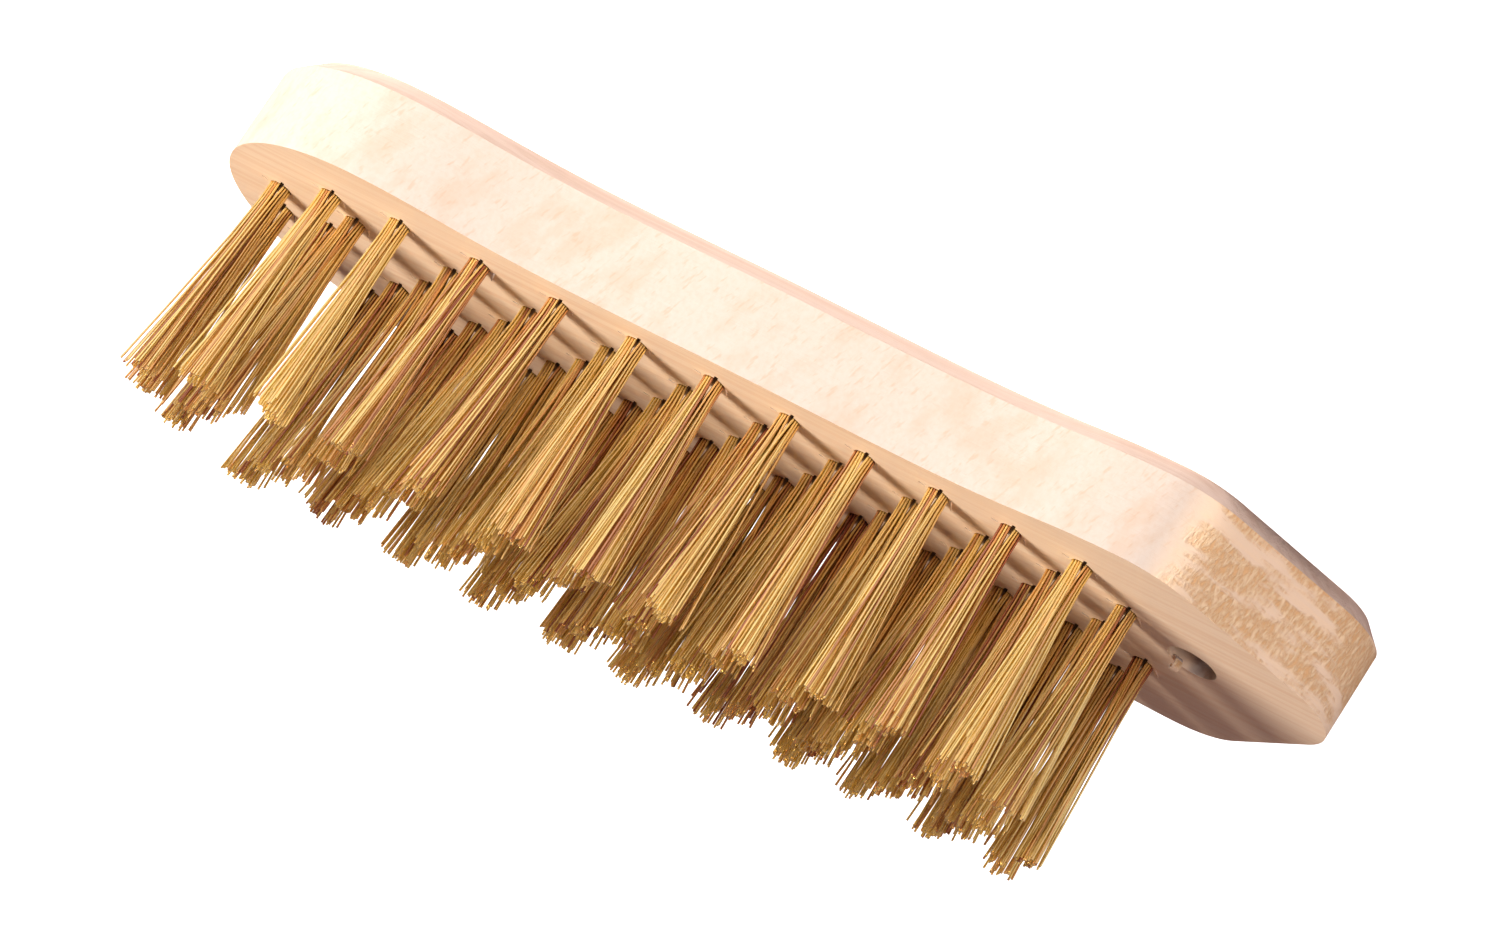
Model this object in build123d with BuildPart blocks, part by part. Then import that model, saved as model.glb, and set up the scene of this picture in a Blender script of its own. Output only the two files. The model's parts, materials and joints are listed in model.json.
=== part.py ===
from build123d import *
import math
import os

# Hand wire brush: a waisted wooden block, rounded at one end and drawn in to a blunt nose at
# the other, filled with tufts of brass wire. Each tuft is a bundle of wires folded in half over
# a flat staple and driven into a blind hole of its own. Millimetres. The brush lies on its
# back: Z = 0 is the flat back, +Z is the way the bristles point, X runs along the block with
# the nose at -X, and Y = 0 is the block's centre line.

# --- block ---
LENGTH = 200.0            # nose tip to the far side of the round end
BULGE_WIDTH = 60.5        # across the round end and across the shoulders of the nose
WAIST_WIDTH = 53.0        # across the waist, half way along
WAIST_RAMP = 22.0         # length over which a side runs from a bulge down to the waist
WAIST_RAMP_DEPTH = 0.75   # part of the waist's depth reached at the foot of that ramp
THICKNESS = 18.2          # back to bristle face
BACK_CHAMFER = 3.2        # broken edge all round the back
NOSE_TIP_RADIUS = 14.3    # blunt end of the nose
NOSE_FLANK_ANGLE = 45.0   # between a flank of the nose and the centre line
SHOULDER_RADIUS = 16.0    # where a flank meets the long side
HANG_HOLE_DIAMETER = 8.6  # hole to hang the brush by, right through the nose
HANG_HOLE_SETBACK = 23.3  # its centre from the nose tip

# --- field of tufts: five rows, every other row stepped half a pitch ---
ROW_NAMES = "abcde"
ROW_SHARES = (0, 0.26, 0.56, 0.76, 1)  # rows across the field: the two beyond the middle stand closer
STEP_COUNT = 21           # half pitches from the first column to the last
ROUND_END_MARGIN = 21.0   # first column from the tip of the round end
NOSE_MARGIN = 33.6        # last column from the nose tip
PITCH_CLOSING = 0.116     # the pitch starts this share above its mean and ends as much below
SIDE_MARGIN = 7.3         # outer rows from the sides at the waist, on average
FIELD_OFFSET = 1.0        # the whole field sits this far off the centre line, towards +Y
END_ARC_INSET = 9.0       # arc of extra tufts in the round end, in from its edge
END_ARC_STEP = 9.3        # spacing along that arc
END_ARC_NAMES = ("end_near", "end_middle", "end_far")
FIRST_SHIFTS = {"a01": (-1.8, 2.2), "b01": (3.1, -0.8), "c01": (2.5, -4.2)}  # follow the round end

# --- tuft holes ---
HOLE_DIAMETER = 3.8
HOLE_DEPTH = 10.5
NICK_LENGTH = 1.2         # mark left beside each hole by the filling tool
NICK_WIDTH = 0.45
NICK_DEPTH = 0.5
NICK_REACH = 2.9          # centre of the mark from the hole's axis
NICK_ANGLE = -22.0        # direction from the hole to its mark, in the face

# --- anchor staples ---
STAPLE_THICKNESS = 0.5
STAPLE_HEIGHT = 1.8
STAPLE_BITE = 0.9         # how far each end reaches into the wood beside the hole
STAPLE_CORNER = 0.4       # slant sheared off the lower corners
STAPLE_ANGLE = 68.0       # staple's long side from the X axis
STAPLE_GAP = 0.05         # clearance on every side of a staple

# --- tufts ---
BUNDLE_GAP = 0.1          # clearance between a bundle and the wall and floor of its hole
FOLD_HEIGHT = 1.7         # bundle under the staple
FOLD_RADIUS = 1.1         # rounding of the fold
TRIM_LENGTH = 37.0        # bristle face to trimmed tips
TIP_DIAMETER = 7.0        # bundle spread at the tips
SPREAD_SAG = 0.35         # how far the flare bows inwards half way up

tip_height = THICKNESS + TRIM_LENGTH
hole_floor = THICKNESS - HOLE_DEPTH
fold_bottom = hole_floor + BUNDLE_GAP
staple_bottom = fold_bottom + FOLD_HEIGHT + STAPLE_GAP
root_radius = HOLE_DIAMETER / 2 - BUNDLE_GAP
slot_width = STAPLE_THICKNESS + 2 * STAPLE_GAP
staple_length = HOLE_DIAMETER + 2 * STAPLE_BITE


def tuft_stations():
    """Name and place of every tuft, seen from the bristle side."""
    field_width = WAIST_WIDTH - 2 * SIDE_MARGIN
    first_x = LENGTH / 2 - ROUND_END_MARGIN
    run = LENGTH - ROUND_END_MARGIN - NOSE_MARGIN
    stations = {}
    for step in range(STEP_COUNT + 1):
        share = step / STEP_COUNT
        x = first_x - run * (share + PITCH_CLOSING * share * (1 - share))
        for row in range(step % 2, len(ROW_NAMES), 2):
            y = FIELD_OFFSET + (ROW_SHARES[row] - 0.5) * field_width
            name = f"{ROW_NAMES[row]}{step // 2 + 1:02d}"
            shift_x, shift_y = FIRST_SHIFTS.get(name, (0, 0))
            stations[name] = (x + shift_x, y + shift_y)
    arc_radius = BULGE_WIDTH / 2 - END_ARC_INSET
    arc_centre = LENGTH / 2 - BULGE_WIDTH / 2
    for index, name in enumerate(END_ARC_NAMES):
        angle = (index - 1) * END_ARC_STEP / arc_radius
        x = arc_centre + arc_radius * math.cos(angle)
        stations[name] = (x, FIELD_OFFSET + arc_radius * math.sin(angle))
    return stations


def block_outline():
    """Plan of the block: one side, then its mirror image."""
    half_bulge = BULGE_WIDTH / 2
    half_waist = WAIST_WIDTH / 2
    end_centre = LENGTH / 2 - half_bulge
    tip_centre = NOSE_TIP_RADIUS - LENGTH / 2
    flank = math.radians(NOSE_FLANK_ANGLE)
    shoulder_rise = (half_bulge - SHOULDER_RADIUS) * math.cos(flank)
    shoulder_x = tip_centre + (shoulder_rise + SHOULDER_RADIUS - NOSE_TIP_RADIUS) / math.sin(flank)
    ramp_y = half_bulge - (half_bulge - half_waist) * WAIST_RAMP_DEPTH
    waist_x = (end_centre + shoulder_x) / 2
    with BuildSketch() as outline:
        with BuildLine():
            CenterArc((end_centre, 0), half_bulge, 0, 90)
            Spline(
                (end_centre, half_bulge),
                (end_centre - WAIST_RAMP, ramp_y),
                (waist_x, half_waist),
                (shoulder_x + WAIST_RAMP, ramp_y),
                (shoulder_x, half_bulge),
                tangents=((-1, 0), (-1, 0)),
            )
            shoulder = CenterArc(
                (shoulder_x, half_bulge - SHOULDER_RADIUS), SHOULDER_RADIUS, 90, NOSE_FLANK_ANGLE
            )
            tip = CenterArc(
                (tip_centre, 0), NOSE_TIP_RADIUS, 90 + NOSE_FLANK_ANGLE, 90 - NOSE_FLANK_ANGLE
            )
            Line(shoulder @ 1, tip @ 0)
            mirror(about=Plane.XZ)
        make_face()
    return outline.sketch


def make_block(places):
    """Wooden block with its blind tuft holes, staple grooves, tool nicks and hanging hole."""
    face = Plane.XY.offset(THICKNESS)
    nick = math.radians(NICK_ANGLE)
    nick_shift = (NICK_REACH * math.cos(nick), NICK_REACH * math.sin(nick))
    nick_places = [(x + nick_shift[0], y + nick_shift[1]) for x, y in places]
    with BuildPart() as block:
        add(block_outline())
        extrude(amount=THICKNESS)
        chamfer(block.faces().sort_by(Axis.Z)[0].edges(), BACK_CHAMFER)
        with Locations(*[(x, y, THICKNESS) for x, y in places]):
            Hole(HOLE_DIAMETER / 2, depth=HOLE_DEPTH)
        with Locations((HANG_HOLE_SETBACK - LENGTH / 2, 0, THICKNESS)):
            Hole(HANG_HOLE_DIAMETER / 2)
        with BuildSketch(face):
            with Locations(*places):
                Rectangle(staple_length + 2 * STAPLE_GAP, slot_width, rotation=STAPLE_ANGLE)
        extrude(amount=staple_bottom - STAPLE_GAP - THICKNESS, mode=Mode.SUBTRACT)
        with BuildSketch(face):
            with Locations(*nick_places):
                Rectangle(NICK_LENGTH, NICK_WIDTH, rotation=NICK_ANGLE)
        extrude(amount=-NICK_DEPTH, mode=Mode.SUBTRACT)
    return block.part


def make_staple(x, y):
    """Flat anchor staple, lying across its hole with both ends in the wood."""
    upright = Plane((x, y, staple_bottom), (1, 0, 0), (0, -1, 0)).rotated((0, 0, STAPLE_ANGLE))
    with BuildPart() as staple:
        with BuildSketch(upright) as strip:
            Rectangle(staple_length, STAPLE_HEIGHT, align=(Align.CENTER, Align.MIN))
            chamfer(strip.vertices().group_by(Axis.Z)[0], STAPLE_CORNER)
        extrude(amount=STAPLE_THICKNESS / 2, both=True)
    return staple.part


def make_tuft(x, y):
    """Bundle of wires folded under its staple, with two legs that flare towards the tips."""
    middle_radius = (root_radius + TIP_DIAMETER / 2) / 2 - SPREAD_SAG
    with BuildPart() as tuft:
        with BuildSketch(Plane((x, y, 0), (1, 0, 0), (0, -1, 0))):
            with BuildLine():
                floor = Line((0, fold_bottom), (root_radius - FOLD_RADIUS, fold_bottom))
                fold = JernArc(floor @ 1, floor % 1, FOLD_RADIUS, 90)
                root = Line(fold @ 1, (root_radius, THICKNESS))
                flare = ThreePointArc(
                    root @ 1,
                    (middle_radius, (THICKNESS + tip_height) / 2),
                    (TIP_DIAMETER / 2, tip_height),
                )
                Polyline(flare @ 1, (0, tip_height), floor @ 0)
            make_face()
        revolve(axis=Axis((x, y, 0), (0, 0, 1)))
        with BuildSketch(Plane((x, y, staple_bottom - STAPLE_GAP))):
            Rectangle(2 * TIP_DIAMETER, slot_width, rotation=STAPLE_ANGLE)
        extrude(until=Until.LAST, mode=Mode.SUBTRACT)
    return tuft.part


def save(part, name):
    part.label = name
    export_step(part, f"parts/{name}.step")


os.makedirs("parts", exist_ok=True)
stations = tuft_stations()
save(make_block(list(stations.values())), "block")
save(Compound(children=[make_staple(x, y) for x, y in stations.values()]), "anchor_staples")
for name, (x, y) in stations.items():
    save(make_tuft(x, y), f"tuft_{name}")
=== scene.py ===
# %% [markdown]
# # A hand wire brush in beech and brass
# The construction already exists as a fixed frame: a wooden block with blind holes, one flat
# staple per hole and one bundle of wire per hole. This script gives it its looks. The block and
# the staples keep their shape and get materials. Each bundle is a plain solid in the frame, so
# it is replaced here by the real thing: single wires, folded in half round their staple.

# %% Load the frame
import json
import math
import random

import bmesh
import bpy
from mathutils import Matrix, Vector


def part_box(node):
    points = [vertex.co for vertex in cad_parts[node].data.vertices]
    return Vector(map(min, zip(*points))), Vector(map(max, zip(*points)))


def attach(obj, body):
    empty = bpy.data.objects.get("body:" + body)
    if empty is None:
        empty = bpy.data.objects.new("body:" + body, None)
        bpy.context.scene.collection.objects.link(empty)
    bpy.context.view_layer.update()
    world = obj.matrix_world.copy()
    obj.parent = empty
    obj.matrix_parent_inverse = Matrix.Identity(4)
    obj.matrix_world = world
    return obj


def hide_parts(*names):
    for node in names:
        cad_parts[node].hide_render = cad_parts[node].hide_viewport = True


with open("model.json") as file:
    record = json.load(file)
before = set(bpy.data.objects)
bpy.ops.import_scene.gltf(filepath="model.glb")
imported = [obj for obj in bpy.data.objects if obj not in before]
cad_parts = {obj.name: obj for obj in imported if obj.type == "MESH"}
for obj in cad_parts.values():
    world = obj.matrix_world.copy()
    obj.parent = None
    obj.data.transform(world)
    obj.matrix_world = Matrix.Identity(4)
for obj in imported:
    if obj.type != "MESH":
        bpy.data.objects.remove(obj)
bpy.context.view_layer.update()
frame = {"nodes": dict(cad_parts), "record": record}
MM = 0.001
block_low, block_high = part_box("block")
tuft_nodes = sorted(name for name in frame["nodes"] if name.startswith("tuft_"))
tip_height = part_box(tuft_nodes[0])[1].z
face_height = block_high.z
print("block", [round(v / MM, 1) for v in (*block_low, *block_high)])
print(len(tuft_nodes), "tufts, bristles", round((tip_height - face_height) / MM, 1), "mm long")

# %% [markdown]
# ## Where the brush is looked at from
# The brush lies on its back, so its bristles point up. The view of it is from the front, a
# little from the nose end and only just above the plane of the bristle face, with the picture
# turned so far round that the bristles hang down to the left. A long lens keeps the two long
# sides of the block almost parallel. Azimuth, elevation and roll are easier to read and to
# change than a matrix, so the matrix is built from them.

# %% Camera
AIM = Vector((5.6, 13.3, 18.0)) * MM
AZIMUTH = math.radians(22.1)
ELEVATION = math.radians(16.3)
ROLL = math.radians(-146.75)
DISTANCE = 1.289    # metres from AIM
LENS = 200          # focal length in millimetres
SENSOR_WIDTH = 36   # millimetres

look = Vector((
    math.sin(AZIMUTH) * math.cos(ELEVATION),
    math.cos(AZIMUTH) * math.cos(ELEVATION),
    -math.sin(ELEVATION),
))
level_right = look.cross(Vector((0, 0, 1))).normalized()
level_up = level_right.cross(look)
upright = Matrix((level_right, level_up, -look)).transposed()
camera_data = bpy.data.cameras.new("camera")
camera_data.lens = LENS
camera_data.sensor_width = SENSOR_WIDTH
camera = bpy.data.objects.new("camera", camera_data)
bpy.context.scene.collection.objects.link(camera)
camera.matrix_world = (
    Matrix.Translation(AIM - look * DISTANCE)
    @ upright.to_4x4()
    @ Matrix.Rotation(ROLL, 4, "Z")
)
bpy.context.scene.camera = camera
print("camera at", [round(v, 3) for v in camera.matrix_world.translation])

# %% [markdown]
# ## Floor
# A plain pale floor under the brush. It could be lit until it turns white, but then the brush
# would be overlit too. So the floor shines, and the Light Path node lets it shine for the
# camera alone: it is clean white to look at, and lights nothing.

# %% Floor
FLOOR_REACH = 6.0   # metres from the middle to each edge
FLOOR_COLOUR = (0.90, 0.88, 0.87, 1)

floor_mesh = bpy.data.meshes.new("floor")
floor_bm = bmesh.new()
bmesh.ops.create_grid(floor_bm, x_segments=1, y_segments=1, size=FLOOR_REACH)
floor_bm.to_mesh(floor_mesh)
floor_bm.free()
floor = bpy.data.objects.new("floor", floor_mesh)
bpy.context.scene.collection.objects.link(floor)
floor_material = bpy.data.materials.new("floor_white")
floor_material.use_nodes = True
floor_tree = floor_material.node_tree
floor_shader = floor_tree.nodes["Principled BSDF"]
floor_shader.inputs["Base Color"].default_value = FLOOR_COLOUR
floor_shader.inputs["Roughness"].default_value = 0.9
floor_shader.inputs["Specular IOR Level"].default_value = 0.1
floor_shader.inputs["Emission Color"].default_value = (1, 1, 1, 1)
seen = floor_tree.nodes.new("ShaderNodeLightPath").outputs["Is Camera Ray"]
floor_tree.links.new(seen, floor_shader.inputs["Emission Strength"])
floor.data.materials.append(floor_material)
print("floor", [round(v, 1) for v in floor.dimensions], "metres")

# %% [markdown]
# ## Light
# A soft key light stands in front of the long side and towards the round end, under thirty
# degrees above the bristle face. That makes the long side the brightest surface, leaves the
# bristle face a warmer tone and draws a soft shadow from the foot of every tuft. A smaller, lower
# light on the same side reaches in between the tufts, and a weaker fill comes from the nose end.
# The world is a dim, rosy surround: brass is a mirror, and it needs something to mirror.

# %% Lights
WORLD_COLOUR = (1.0, 0.74, 0.86, 1)
WORLD_STRENGTH = 0.17
LAMPS = {
    # direction from the block, metres away, metres across, watts, colour
    "key_light": ((0.62, -0.66, 0.46), 1.3, 0.42, 18, (1.0, 0.96, 0.915)),
    "low_light": ((0.78, -0.62, 0.07), 1.3, 0.22, 4.5, (1.0, 0.96, 0.91)),
    "fill_light": ((-0.78, -0.55, 0.10), 1.5, 0.6, 8, (1.0, 0.91, 0.88)),
}


def area_light(name, direction, distance, size, power, colour):
    """Square area light in a direction from the block, facing it."""
    data = bpy.data.lights.new(name, "AREA")
    data.shape = "SQUARE"
    data.size = size
    data.energy = power
    data.color = colour
    lamp = bpy.data.objects.new(name, data)
    bpy.context.scene.collection.objects.link(lamp)
    lamp.location = AIM + Vector(direction).normalized() * distance
    lamp.rotation_euler = (AIM - lamp.location).to_track_quat("-Z", "Y").to_euler()
    print(name, power, "W at", [round(v, 2) for v in lamp.location])


for lamp_name, lamp_settings in LAMPS.items():
    area_light(lamp_name, *lamp_settings)
world = bpy.data.worlds.new("surround")
world.use_nodes = True
world.node_tree.nodes["Background"].inputs["Color"].default_value = WORLD_COLOUR
world.node_tree.nodes["Background"].inputs["Strength"].default_value = WORLD_STRENGTH
bpy.context.scene.world = world
bpy.context.scene.view_settings.view_transform = "Standard"
bpy.context.scene.view_settings.look = "Medium High Contrast"

# %% [markdown]
# ## Building node materials in code
# Every finish here is a node tree. A handful of small helpers keeps the trees short to write: they
# add a node with its sockets set, a colour ramp, a colour mix, a sum or a soft threshold, and
# start a material or a node group. Values that are the same all over a surface stay on the
# Principled shader.

# %% Node helpers


def set_socket(tree, socket, value):
    """Link the socket if the value is another node's output, or else set it."""
    if isinstance(value, bpy.types.NodeSocket):
        tree.links.new(value, socket)
    else:
        socket.default_value = value


def add_node(tree, kind, settings=None, **sockets):
    """New node with properties and inputs set; an input is given by name, or as _0, _1 by place."""
    node = tree.nodes.new(kind)
    for key, value in (settings or {}).items():
        setattr(node, key, value)
    for key, value in sockets.items():
        by_place = key[1:].isdigit()
        socket = node.inputs[int(key[1:]) if by_place else key.replace("_", " ")]
        set_socket(tree, socket, value)
    return node


def ramp(tree, value, stops):
    """Colour ramp with (position, colour) stops, as its colour output."""
    node = add_node(tree, "ShaderNodeValToRGB", Fac=value)
    elements = node.color_ramp.elements
    while len(elements) < len(stops):
        elements.new(0.5)
    for element, (position, colour) in zip(elements, stops):
        element.position = position
        element.color = (*colour, 1)
    return node.outputs["Color"]


def mix_colour(tree, share, first, second):
    """Mix node for colours, as its result output: first where share is 0, second where it is 1."""
    node = add_node(tree, "ShaderNodeMix", {"data_type": "RGBA"}, Factor=share)
    first_socket, second_socket, result = node.inputs[6], node.inputs[7], node.outputs[2]
    for socket, value in ((first_socket, first), (second_socket, second)):
        is_link = isinstance(value, bpy.types.NodeSocket)
        set_socket(tree, socket, value if is_link else (*value, 1))
    return result


def maths(tree, operation, first, second=0.0):
    """Math node, as its output."""
    node = add_node(tree, "ShaderNodeMath", {"operation": operation}, _0=first, _1=second)
    return node.outputs[0]


def stain(tree, colour, mask, strength, stain_colour):
    """Colour with a second one laid over it where the mask is bright, as strong as strength."""
    return mix_colour(tree, maths(tree, "MULTIPLY", mask, strength), colour, stain_colour)


def smooth_step(tree, value, low, high):
    """0 below low, 1 above high, smooth between."""
    node = add_node(
        tree, "ShaderNodeMapRange", {"interpolation_type": "SMOOTHSTEP"},
        Value=value, From_Min=low, From_Max=high,
    )
    return node.outputs[0]


def start_material(name, **constants):
    """Material with a Principled shader whose constant sockets are set."""
    material = bpy.data.materials.new(name)
    material.use_nodes = True
    shader = material.node_tree.nodes["Principled BSDF"]
    for key, value in constants.items():
        shader.inputs[key.replace("_", " ")].default_value = value
    return material, material.node_tree, shader


def start_group(name, inputs, outputs):
    """Node group with named sockets; returns it with its inner input and output nodes."""
    group = bpy.data.node_groups.new(name, "ShaderNodeTree")
    for socket_name, kind, default in inputs:
        socket = group.interface.new_socket(socket_name, in_out="INPUT", socket_type=kind)
        if default is not None:
            socket.default_value = default
    for socket_name, kind in outputs:
        group.interface.new_socket(socket_name, in_out="OUTPUT", socket_type=kind)
    return group, group.nodes.new("NodeGroupInput"), group.nodes.new("NodeGroupOutput")


# %% [markdown]
# ## Streaks, one effect for many finishes
# Year rings, ray flecks, the film on old wire, scratches in steel: all are noise pulled out along
# one direction. A Mapping node turns the coordinates, a Vector Math node packs the noise more
# densely across the streaks than along them, and a Map Range turns the noise into a mask with an
# adjustable threshold. As a node group it is built once and placed with its own numbers wherever
# a finish needs streaks. A density is the number of noise cells per metre along X, Y and Z.

# %% Streak group
STREAK_ROUGHNESS = 0.6   # how strongly the finer layers of the noise show

streaks, streaks_in, streaks_out = start_group(
    "streaks",
    [
        ("Vector", "NodeSocketVector", None),
        ("Rotation", "NodeSocketVector", (0, 0, 0)),
        ("Density", "NodeSocketVector", (100, 100, 100)),
        ("Detail", "NodeSocketFloat", 3.0),
        ("From", "NodeSocketFloat", 0.4),
        ("To", "NodeSocketFloat", 0.6),
    ],
    [("Mask", "NodeSocketFloat")],
)
turned = add_node(
    streaks, "ShaderNodeMapping",
    Vector=streaks_in.outputs["Vector"], Rotation=streaks_in.outputs["Rotation"],
)
squeezed = add_node(
    streaks, "ShaderNodeVectorMath", {"operation": "MULTIPLY"},
    _0=turned.outputs[0], _1=streaks_in.outputs["Density"],
)
streak_noise = add_node(
    streaks, "ShaderNodeTexNoise",
    Vector=squeezed.outputs[0], Scale=1.0, Detail=streaks_in.outputs["Detail"],
    Roughness=STREAK_ROUGHNESS,
)
streak_mask = smooth_step(
    streaks, streak_noise.outputs[0], streaks_in.outputs["From"], streaks_in.outputs["To"]
)
streaks.links.new(streak_mask, streaks_out.inputs["Mask"])
print("streak group with", len(streaks.nodes), "nodes")


def place_streaks(tree, vector, density, low, high, rotation=(0, 0, 0), detail=3.0):
    """Streak mask placed in a material, as its output."""
    node = add_node(
        tree, "ShaderNodeGroup", {"node_tree": streaks},
        Vector=vector, Rotation=rotation, Density=density, Detail=detail, From=low, To=high,
    )
    return node.outputs["Mask"]


# %% [markdown]
# ## Beech
# Beech is pale and even. Its year rings show as faint lines along the length on the bristle
# face and on the back, its rays as short tan flecks on the sides. Where the nose cuts across
# the fibres, the saw has torn them into rough, darker patches, whose pits are darker partly by
# painted shade. One material does it all and chooses by the direction in which the surface
# faces, so the block needs no separate faces. With that choice it also paints light and shade:
# each facing gets its own base colour, darker on the long sides and on the back with its broken
# edge, which would burn out, and brighter on the bristle face and the flanks of the nose, which
# the lamps only graze or miss. The normal gives the masks: the bristle face, the back with its
# broken edge, and the flanks of the nose, once broadly and once only where they are steepest.

# %% Beech: where each kind of surface is
beech, tree, shader = start_material("beech", Roughness=0.62, Specular_IOR_Level=0.25)
place = add_node(tree, "ShaderNodeTexCoord").outputs["Object"]
normal = add_node(tree, "ShaderNodeNewGeometry").outputs["Normal"]
facing = add_node(tree, "ShaderNodeSeparateXYZ", Vector=normal).outputs
towards_nose = maths(tree, "MULTIPLY", facing["X"], -1.0)
downwards = maths(tree, "MULTIPLY", facing["Z"], -1.0)

is_face = smooth_step(tree, facing["Z"], 0.5, 0.9)
is_back = smooth_step(tree, downwards, 0.3, 0.65)
is_flank = smooth_step(tree, towards_nose, 0.16, 0.5)
is_steep_flank = smooth_step(tree, towards_nose, 0.30, 0.55)
print("beech chooses between face, back, flank and side")

# %% [markdown]
# ## Colours of the face, the back and the sides
# Each surface starts from its own pale colour, with painted light in it: painted shade on the
# sides and the back, painted light on the face. It is then stained by masks, the broad ones
# first. The face and the back have long year lines, with finer lines on the face. The sides
# have clusters of flecks, a fine mottle all over, and the single flecks themselves, which slant
# a little.

# %% Beech: colours
# Painted shade: the long sides get a darker base colour than the rest of the beech because the key
# lamp lights them hardest.
SIDE_PAINTED_SHADE = (0.62, 0.55, 0.485)
FLECK = (0.56, 0.40, 0.28)
# Painted light: the bristle face gets a brighter, warmer base colour because the lamps only graze
# it; its year lines are real grain.
FACE_PALE_PAINTED_LIT = (0.95, 0.75, 0.55)
FACE_GRAIN_PAINTED_LIT = (0.82, 0.54, 0.33)
# Painted shade: the back and its broken edge get a darker base colour so that the edge band does
# not burn out; its year lines are real grain.
BACK_PALE_PAINTED_SHADE = (0.75, 0.63, 0.555)
BACK_GRAIN_PAINTED_SHADE = (0.62, 0.47, 0.38)
YEAR_DENSITY = (12, 620, 500)
FINE_DENSITY = (60, 2600, 2600)
FLECK_DENSITY = (1300, 700, 360)
CLUSTER_DENSITY = (170, 170, 80)
MOTTLE_DENSITY = (1300, 1300, 1100)
FLECK_TURN = (0, math.radians(-20), 0)

year_lines = place_streaks(tree, place, YEAR_DENSITY, 0.42, 0.66, detail=5.0)
fine_lines = place_streaks(tree, place, FINE_DENSITY, 0.35, 0.75, detail=4.0)
face_colour_painted_lit = stain(tree, FACE_PALE_PAINTED_LIT, year_lines, 0.40, FACE_GRAIN_PAINTED_LIT)
face_colour_painted_lit = stain(tree, face_colour_painted_lit, fine_lines, 0.25, FACE_GRAIN_PAINTED_LIT)
back_colour_painted_shade = stain(tree, BACK_PALE_PAINTED_SHADE, year_lines, 0.5, BACK_GRAIN_PAINTED_SHADE)

flecks = place_streaks(tree, place, FLECK_DENSITY, 0.56, 0.72, FLECK_TURN, 2.0)
clusters = place_streaks(tree, place, CLUSTER_DENSITY, 0.46, 0.66, FLECK_TURN, 3.0)
mottle = place_streaks(tree, place, MOTTLE_DENSITY, 0.35, 0.75, detail=6.0)
side_colour_with_painted_light = stain(tree, SIDE_PAINTED_SHADE, clusters, 0.34, FLECK)
side_colour_with_painted_light = stain(tree, side_colour_with_painted_light, mottle, 0.24, FLECK)
side_colour_with_painted_light = stain(tree, side_colour_with_painted_light, flecks, 0.5, FLECK)
print("beech colours use", len(tree.nodes), "nodes so far")

# %% [markdown]
# ## Torn fibres on the nose
# The flanks of the nose run across the fibres. Their wood is combed by the saw and painted
# warmer and brighter than the sides, which is painted light: the key lamp hardly reaches them.
# The torn colours are raised in the same way. In bands the wood is torn: short dark pits, dark
# partly by the torn fibre's own tone and partly by painted shade, with paler ribs left standing
# between them. The same two masks, the bands and the ribs, colour the pits and sink them in the
# bump, so that colour and relief agree. A much finer bump of lengthwise fibre covers the whole
# block.

# %% Beech: torn fibres and relief
# Painted light: the nose flanks and the torn colours get brighter base colours because the key lamp
# hardly reaches the flanks.
FLANK_PAINTED_LIT = (0.93, 0.75, 0.57)
TORN_PALE_PAINTED_LIT = (1.0, 0.78, 0.52)
TORN_PIT_FIBRE_AND_SHADE = (0.86, 0.55, 0.28)
BAND_DENSITY = (55, 55, 230)
RIB_DENSITY = (1900, 1900, 620)
RIB_TURN = (0, math.radians(-12), 0)
COMB_DENSITY = (90, 90, 2200)
FIBRE_DENSITY = (90, 2400, 2400)
FIBRE_RELIEF = 0.1 * MM
TORN_RELIEF = 0.5 * MM

torn_bands = place_streaks(tree, place, BAND_DENSITY, 0.46, 0.58, detail=7.0)
ribs = place_streaks(tree, place, RIB_DENSITY, 0.36, 0.64, RIB_TURN, 4.0)
combed = place_streaks(tree, place, COMB_DENSITY, 0.40, 0.70, detail=3.0)
torn = maths(tree, "MULTIPLY", torn_bands, is_steep_flank)
# The dark pits are partly the torn fibre's own tone and partly painted shade in the pits.
torn_colour_with_painted_light = mix_colour(tree, ribs, TORN_PALE_PAINTED_LIT, TORN_PIT_FIBRE_AND_SHADE)
flank_colour_painted_lit = stain(tree, FLANK_PAINTED_LIT, combed, 0.30, TORN_PALE_PAINTED_LIT)
side_colour_with_painted_light = mix_colour(tree, is_flank, side_colour_with_painted_light, flank_colour_painted_lit)
side_colour_with_painted_light = stain(tree, side_colour_with_painted_light, torn, 0.9, torn_colour_with_painted_light)
# The facing masks pick lit and shaded copies of the beech colour: painted light and painted shade.
wood_colour_with_painted_light = mix_colour(tree, is_face, side_colour_with_painted_light, face_colour_painted_lit)
wood_colour_with_painted_light = mix_colour(tree, is_back, wood_colour_with_painted_light, back_colour_painted_shade)
tree.links.new(wood_colour_with_painted_light, shader.inputs["Base Color"])

fibre = place_streaks(tree, place, FIBRE_DENSITY, 0.2, 0.8, detail=5.0)
off_face = maths(tree, "SUBTRACT", 1.0, is_face)
pits = maths(tree, "MULTIPLY", maths(tree, "MULTIPLY", torn, ribs), off_face)
fibre_bump = add_node(
    tree, "ShaderNodeBump", Strength=0.3, Distance=FIBRE_RELIEF, Height=fibre
)
torn_bump = add_node(
    tree, "ShaderNodeBump", {"invert": True}, Strength=0.6, Distance=TORN_RELIEF,
    Height=pits, Normal=fibre_bump.outputs[0],
)
tree.links.new(torn_bump.outputs[0], shader.inputs["Normal"])
print("beech finished with", len(tree.nodes), "nodes")

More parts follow.
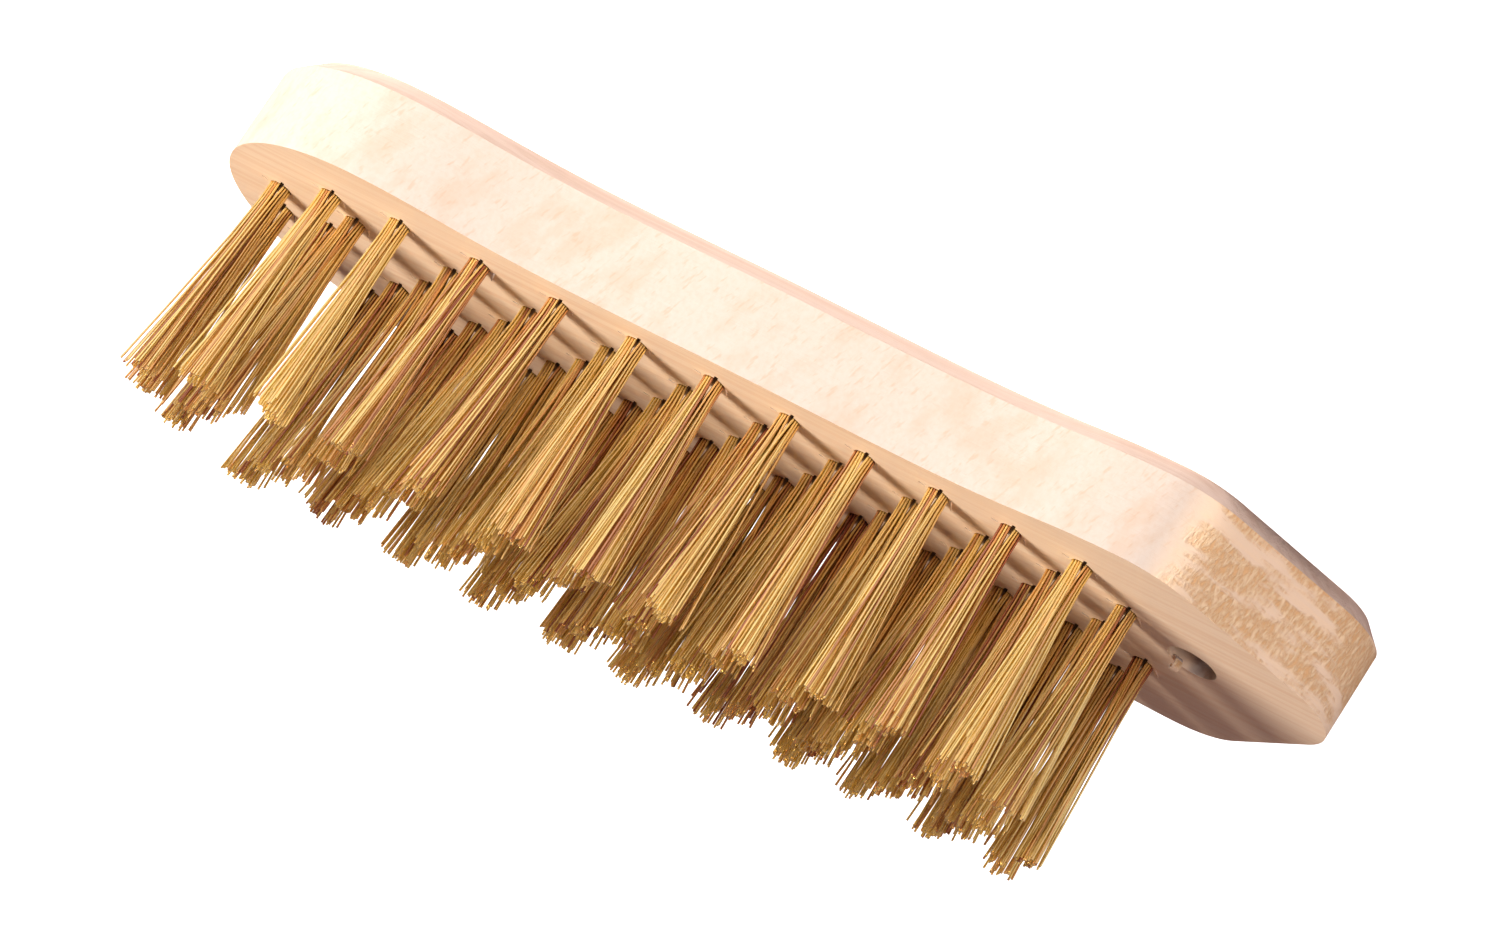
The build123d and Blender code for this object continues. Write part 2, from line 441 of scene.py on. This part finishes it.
# %% [markdown]
# ## Brass wire
# Drawn brass is bright but never clean: some wires are redder, some are brown all over. Each
# wire carries one random number in a mesh attribute, and a colour ramp turns that number into a
# tone. A brown film lies over the wires in long patches, and where it lies the brass is also
# rougher. A multiply-add node gives that roughness: the film times a gain, plus the clean value.

# %% Brass wire material
BRASS_BRIGHT = (1.0, 0.81, 0.38)
BRASS_RED = (0.92, 0.60, 0.29)
BRASS_BROWN = (0.46, 0.20, 0.15)
BRASS_TONES = [
    (0.0, BRASS_BROWN), (0.14, BRASS_RED), (0.45, BRASS_BRIGHT), (1.0, BRASS_BRIGHT),
]
FILM_DENSITY = (700, 700, 90)
FILM_STRENGTH = 0.35


def patchy_roughness(tree, shader, mask, gain, clean):
    """Roughness that rises by gain from its clean value where the mask is bright."""
    roughness = maths(tree, "MULTIPLY_ADD", mask, gain)
    roughness.node.inputs[2].default_value = clean
    tree.links.new(roughness, shader.inputs["Roughness"])


brass, tree, shader = start_material("brass_wire", Metallic=0.88)
place = add_node(tree, "ShaderNodeTexCoord").outputs["Object"]
tone = add_node(tree, "ShaderNodeAttribute", {"attribute_name": "wire_tone"}).outputs["Fac"]
film = place_streaks(tree, place, FILM_DENSITY, 0.50, 0.80, detail=3.0)
wire_colour = stain(tree, ramp(tree, tone, BRASS_TONES), film, FILM_STRENGTH, BRASS_BROWN)
tree.links.new(wire_colour, shader.inputs["Base Color"])
patchy_roughness(tree, shader, film, 0.25, 0.22)
print("brass finished with", len(tree.nodes), "nodes")

# %% [markdown]
# ## Staple steel
# The staples are flat steel wire, driven into the block until hardly anything of them can be
# seen, so they only need a quiet finish: grey steel with fine scratches. The block and the
# staples keep the frame's own meshes, and only their material slots are filled here.

# %% Staple steel material
STEEL_DARK = (0.36, 0.36, 0.38)
STEEL_LIGHT = (0.52, 0.52, 0.54)
SCRATCH_DENSITY = (300, 300, 4000)

steel, tree, shader = start_material("staple_steel", Metallic=1.0)
place = add_node(tree, "ShaderNodeTexCoord").outputs["Object"]
scratches = place_streaks(tree, place, SCRATCH_DENSITY, 0.3, 0.7)
steel_colour = mix_colour(tree, scratches, STEEL_DARK, STEEL_LIGHT)
tree.links.new(steel_colour, shader.inputs["Base Color"])
patchy_roughness(tree, shader, scratches, 0.2, 0.35)

for node_name, material in (("block", beech), ("anchor_staples", steel)):
    node = frame["nodes"][node_name]
    node.data.materials.clear()
    node.data.materials.append(material)
    print(node_name, "is now", material.name)

# %% [markdown]
# ## How the wires of a tuft lie
# A tuft is a handful of straight wires, laid across the staple and pushed into the hole with
# it, so every wire is a long U. In the hole the two legs of the bundle are packed on either
# side of the staple in layers. Outside they first close up against each other, then fan out,
# each a little its own way, and some are shorter than the rest. Only the points along one wire
# have to be worked out: from one tip down, under the staple, and up to the other tip.

# %% Wire layout
WIRES_PER_LAYER = (8, 7, 5, 2)   # from the staple outwards
LAYER_START = 0.46 * MM          # first layer from the middle of the staple
LAYER_STEP = 0.39 * MM
ROOT_PITCH = 0.41 * MM           # wire to wire along the staple
FOLD_DROP = 0.28 * MM            # how far the inmost fold hangs under the staple
FOLD_DROP_STEP = 0.4 * MM
FOLD_SHOULDER = 0.75             # where the fold's side points are, as a share of its half width
SHOULDER_DROP = 0.7              # and as a share of its drop
ROOT_DEPTH = 0.5 * MM            # the legs are still upright this far inside the hole
STRAY_CHANCE = 0.05
STRAY_FACTOR = 2.0
FAN_SCATTER = 0.38 * MM
INWARD_LEAN = (0.2 * MM, 1.5 * MM)
CLOSING = (0.2 * MM, 0.46 * MM)  # how far the two halves close up over the staple
CLOSING_SHARE = 0.16             # and by which share of the length they have done so
BOW_SCATTER = 0.15 * MM
TRIM_SCATTER = 0.45 * MM
SHORT_CHANCE = 0.10
SHORTENING = (1.0 * MM, 3.2 * MM)
FREE_SHARES = (0.08, 0.3, 0.65, 1.0)
FAN_CURVE = 1.1                  # above 1, a wire opens later
TRIM_MARGIN = 0.15 * MM

STAPLE_ANGLE = math.radians(68.0)
along_staple = Vector((math.cos(STAPLE_ANGLE), math.sin(STAPLE_ANGLE), 0))
across_staple = Vector((-math.sin(STAPLE_ANGLE), math.cos(STAPLE_ANGLE), 0))
staple_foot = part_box("anchor_staples")[0].z
longest = tip_height - face_height - TRIM_MARGIN
print("longest wire stands", round(longest / MM, 2), "mm out of the wood")


def scatter(dice, spread):
    """Random step in the plane of the face."""
    return Vector((dice.gauss(0, spread), dice.gauss(0, spread), 0))


def wire_leg(centre, layer, slide, side, lean, spread, cut, dice):
    """Points of one leg of a wire, from the staple's foot to the trimmed tip."""
    out = (LAYER_START + layer * LAYER_STEP) * side
    root = centre + along_staple * slide + across_staple * out
    fan = (root - centre) * spread
    stray = STRAY_FACTOR if dice.random() < STRAY_CHANCE else 1.0
    fan += scatter(dice, FAN_SCATTER) * stray
    fan -= across_staple * side * dice.uniform(*INWARD_LEAN) / (layer + 1)
    closing = across_staple * side * dice.uniform(*CLOSING)
    bow = scatter(dice, BOW_SCATTER)
    reach = longest - abs(dice.gauss(0, TRIM_SCATTER)) + cut.dot(root + fan - centre)
    if dice.random() < SHORT_CHANCE:
        reach -= dice.uniform(*SHORTENING)
    reach = min(reach, longest)
    leg = [
        Vector((root.x, root.y, staple_foot)),
        Vector((root.x, root.y, face_height - ROOT_DEPTH)),
    ]
    for share in FREE_SHARES:
        swing = (lean * reach + fan) * share ** FAN_CURVE + bow * 4 * share * (1 - share)
        swing -= closing * min(1.0, share / CLOSING_SHARE)
        leg.append(Vector((root.x, root.y, face_height + reach * share)) + swing)
    return leg


def wire_points(centre, layer, slide, lean, spread, cut, dice):
    """Points of one folded wire, from tip to tip; cut is the slope of the trimmed end."""
    first, second = (
        wire_leg(centre, layer, slide, side, lean, spread, cut, dice) for side in (1, -1)
    )
    fold_drop = FOLD_DROP + layer * FOLD_DROP_STEP
    shoulder = across_staple * (LAYER_START + layer * LAYER_STEP) * FOLD_SHOULDER
    middle = centre + along_staple * slide
    under = [
        middle + shoulder + Vector((0, 0, staple_foot - fold_drop * SHOULDER_DROP)),
        middle + Vector((0, 0, staple_foot - fold_drop)),
        middle - shoulder + Vector((0, 0, staple_foot - fold_drop * SHOULDER_DROP)),
    ]
    return first[::-1] + under + second


# %% [markdown]
# ## From points to wires
# A poly curve with a round bevel is the natural tool: one spline per wire, fifteen points each,
# few enough sides that more than a thousand wires stay light. The curve is then made a mesh, so
# that each wire can carry its tone. Tufts differ: each leans a little its own way, more so
# towards the ends of the block, each opens more or less, and each was trimmed at a slight slope.
# Seeded dice give the same brush every time.

# %% Tufts
WIRE_DIAMETER = 0.40 * MM
END_LEAN = 0.05                  # outward lean at the ends of the block, as a slope
LEAN_SCATTER = 0.015
SPREAD = (1.15, 1.55)            # a wire moves out by this many times its distance from the middle
TRIM_SLOPE_SCATTER = 0.16
CRAMPED_TUFT = "tuft_d11"        # the last one towards the nose hardly opens
CRAMPED_SHARE = 0.4


def tuft_curve(centre, lean, spread, cut, dice):
    """Curve with one spline for each wire of a tuft."""
    curve = bpy.data.curves.new("wires", "CURVE")
    curve.dimensions = "3D"
    curve.bevel_depth = WIRE_DIAMETER / 2
    curve.bevel_resolution = 1
    curve.use_fill_caps = True
    for layer, count in enumerate(WIRES_PER_LAYER):
        for index in range(count):
            slide = (index - (count - 1) / 2) * ROOT_PITCH
            points = wire_points(centre, layer, slide, lean, spread, cut, dice)
            spline = curve.splines.new("POLY")
            spline.points.add(len(points) - 1)
            for point, location in zip(spline.points, points):
                point.co = (*location, 1)
    return curve


def make_tuft(node_name, dice):
    """Mesh piece of one tuft, with a tone for each of its wires."""
    low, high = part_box(node_name)
    centre = Vector(((low.x + high.x) / 2, (low.y + high.y) / 2, 0))
    lean = Vector((END_LEAN * centre.x / block_high.x, 0, 0)) + scatter(dice, LEAN_SCATTER)
    spread = dice.uniform(*SPREAD)
    if node_name == CRAMPED_TUFT:
        spread *= CRAMPED_SHARE
    cut = scatter(dice, TRIM_SLOPE_SCATTER)
    holder = bpy.data.objects.new("holder", tuft_curve(centre, lean, spread, cut, dice))
    mesh = bpy.data.meshes.new_from_object(holder)
    bpy.data.objects.remove(holder)
    tuft = bpy.data.objects.new("wires_" + node_name.removeprefix("tuft_"), mesh)
    bpy.context.scene.collection.objects.link(tuft)
    wire_count = sum(WIRES_PER_LAYER)
    per_wire = len(mesh.vertices) // wire_count
    tone = mesh.attributes.new("wire_tone", "FLOAT", "POINT")
    tones = [dice.random() for _ in range(wire_count)]
    tone.data.foreach_set("value", [tones[i // per_wire] for i in range(len(mesh.vertices))])
    mesh.shade_smooth()
    mesh.materials.clear()
    mesh.materials.append(brass)
    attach(tuft, "root")
    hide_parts(node_name)
    return tuft


dice = random.Random(58)
tufts = [make_tuft(name, dice) for name in tuft_nodes]
print(len(tufts), "tufts,", sum(len(t.data.polygons) for t in tufts), "faces")

# %% [markdown]
# ## Splinters
# The filling machine pushes each bundle into dry wood, so a small pale splinter stands up beside
# every hole, on the side away from the tool mark. Each splinter is a six-sided cone, flattened,
# leaned outwards and turned a little differently. They are one mesh, because they are all the
# same wood and nobody moves them one by one.

# %% Splinters
SPLINTER_REACH = 2.25 * MM       # from the middle of the hole
SPLINTER_WIDTH = 0.8 * MM
SPLINTER_POINT = 0.06 * MM
SPLINTER_LENGTH = 2.2 * MM
SPLINTER_FLATNESS = (0.45, 1.4)
SPLINTER_TURN_SCATTER = 0.35     # radians
SPLINTER_TILT = (0.5, 1.0)       # radians
SPLINTER_SCALE = (0.55, 1.25)
REACH_SCALE = (0.96, 1.08)
SPLINTER_DIRECTION = Vector((-0.889, 0.359, 0)).normalized()


def wood_piece(name, bm):
    """Finished piece of beech from a bmesh."""
    bmesh.ops.recalc_face_normals(bm, faces=bm.faces)
    mesh = bpy.data.meshes.new(name)
    bm.to_mesh(mesh)
    bm.free()
    piece = bpy.data.objects.new(name, mesh)
    bpy.context.scene.collection.objects.link(piece)
    piece.data.materials.append(beech)
    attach(piece, "root")
    return piece


splinter_bm = bmesh.new()
for name in tuft_nodes:
    low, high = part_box(name)
    foot = Vector(((low.x + high.x) / 2, (low.y + high.y) / 2, face_height))
    foot += SPLINTER_DIRECTION * SPLINTER_REACH * dice.uniform(*REACH_SCALE)
    heading = math.atan2(SPLINTER_DIRECTION.y, SPLINTER_DIRECTION.x)
    heading += dice.gauss(0, SPLINTER_TURN_SCATTER)
    scale = dice.uniform(*SPLINTER_SCALE)
    thin, wide = SPLINTER_FLATNESS
    bmesh.ops.create_cone(
        splinter_bm, cap_ends=True, segments=6, radius1=SPLINTER_WIDTH, radius2=SPLINTER_POINT,
        depth=SPLINTER_LENGTH,
        matrix=Matrix.Translation(foot)
        @ Matrix.Rotation(heading, 4, "Z")
        @ Matrix.Rotation(dice.uniform(*SPLINTER_TILT), 4, "Y")
        @ Matrix.Diagonal((thin * scale, wide * scale, scale, 1)),
    )
splinters = wood_piece("hole_splinters", splinter_bm)
print("splinters", len(splinters.data.polygons), "faces")

# %% [markdown]
# ## A shaving
# Where the hanging hole was drilled, one curl of wood still clings to its edge. An edge, spun
# round an axis while it creeps sideways, gives the ribbon, and solidify gives it a thickness.
# The hole's place and radius come from the record's own list of mounts.

# %% Shaving
SHAVING_RADIUS = 0.95 * MM
SHAVING_WIDTH = 1.3 * MM
SHAVING_THICKNESS = 0.16 * MM
SHAVING_CREEP = 0.05 * MM
SHAVING_CURL = math.radians(290)
SHAVING_HEIGHT = 0.45 * MM
SHAVING_TURN = math.radians(-40)
SHAVING_SHARE = 0.62             # of the hole's radius, along X and along Y

hang_mount = next(m for m in frame["record"]["mounts"] if m["name"] == "hanging_hole")
hang_x, hang_y = hang_mount["pos_m"][:2]
hang_radius = hang_mount["dims"]["r_mm"] * MM
shaving_bm = bmesh.new()
shaving_edge = shaving_bm.edges.new((
    shaving_bm.verts.new((-SHAVING_WIDTH / 2, SHAVING_RADIUS, 0)),
    shaving_bm.verts.new((SHAVING_WIDTH / 2, SHAVING_RADIUS, 0)),
))
bmesh.ops.spin(
    shaving_bm, geom=[shaving_edge, *shaving_edge.verts], cent=(0, 0, 0), axis=(1, 0, 0),
    dvec=(SHAVING_CREEP, 0, 0), angle=SHAVING_CURL, steps=14,
)
bmesh.ops.solidify(shaving_bm, geom=shaving_bm.faces[:], thickness=SHAVING_THICKNESS)
shaving_place = Vector((
    hang_x + SHAVING_SHARE * hang_radius,
    hang_y + SHAVING_SHARE * hang_radius,
    face_height + SHAVING_HEIGHT,
))
bmesh.ops.transform(
    shaving_bm, verts=shaving_bm.verts,
    matrix=Matrix.Translation(shaving_place) @ Matrix.Rotation(SHAVING_TURN, 4, "Z"),
)
shaving = wood_piece("drill_shaving", shaving_bm)
print("shaving", len(shaving.data.polygons), "faces")
